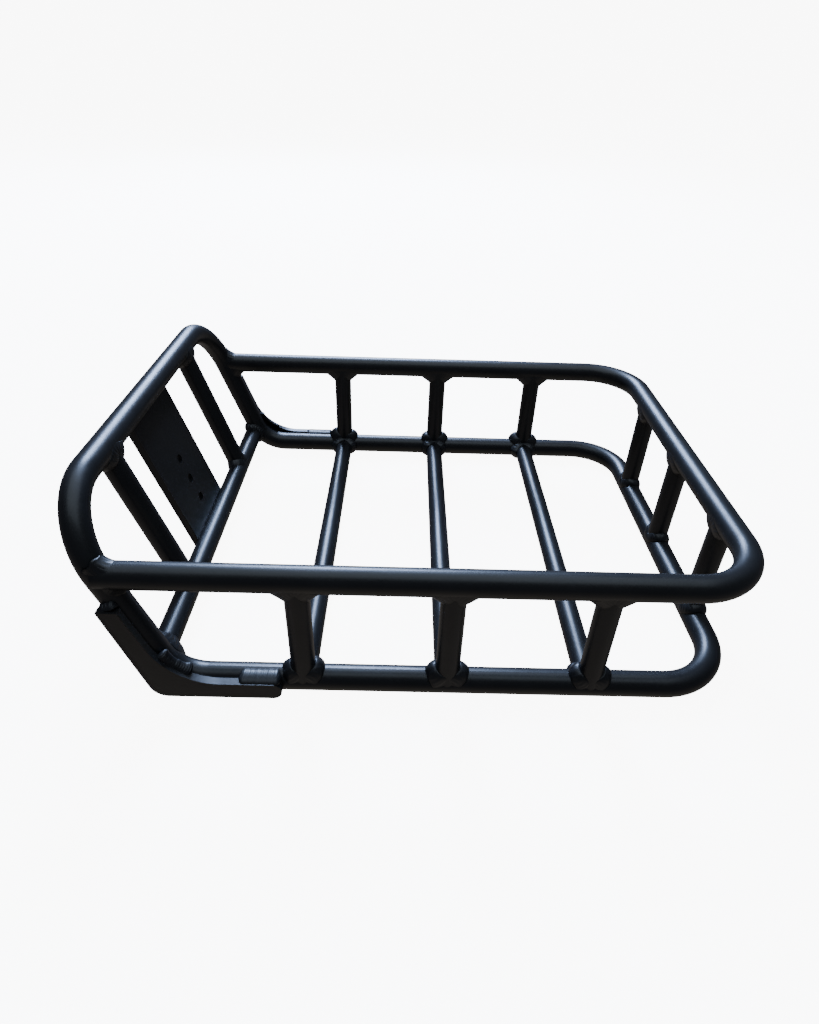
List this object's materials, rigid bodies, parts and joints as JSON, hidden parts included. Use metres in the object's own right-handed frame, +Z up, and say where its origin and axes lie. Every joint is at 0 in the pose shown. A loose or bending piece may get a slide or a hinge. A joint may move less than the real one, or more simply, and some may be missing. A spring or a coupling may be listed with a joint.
{
  "type": "bicycle front cargo rack",
  "caption": "Welded tubular front cargo rack with a leaning rear hoop, an open basket and a vertical mounting plate with bolt holes.",
  "frame": {"origin": "centre of the bounding box, on the surface that the rack stands on", "axes": "+X forward, away from the mounting plate; +Y to the rider's left; +Z up"},
  "size_m": [0.3935, 0.315, 0.1329],
  "materials": {
    "powder_coat": "satin black powder coat",
    "weld_bead": "satin black powder coat over rippled weld bead"
  },
  "bodies": {
    "root": {"rear_hoop": "powder_coat", "floor_rail": "powder_coat", "top_rail": "powder_coat", "rear_cross_tube": "powder_coat", "cross_tube_rear": "powder_coat", "cross_tube_middle": "powder_coat", "cross_tube_front": "powder_coat", "right_post_rear": "powder_coat", "right_post_middle": "powder_coat", "right_post_front": "powder_coat", "left_post_rear": "powder_coat", "left_post_middle": "powder_coat", "left_post_front": "powder_coat", "front_post_right": "powder_coat", "front_post_centre": "powder_coat", "front_post_left": "powder_coat", "back_post_right": "powder_coat", "back_post_left": "powder_coat", "mounting_plate": "powder_coat", "corner_plate_right": "powder_coat", "corner_plate_left": "powder_coat", "welds_right_floor": "weld_bead", "welds_right_top": "weld_bead", "welds_left_floor": "weld_bead", "welds_left_top": "weld_bead", "welds_front_floor": "weld_bead", "welds_front_top": "weld_bead", "welds_back_frame": "weld_bead", "welds_corner_right": "weld_bead", "welds_corner_left": "weld_bead"}
  },
  "joints": []
}
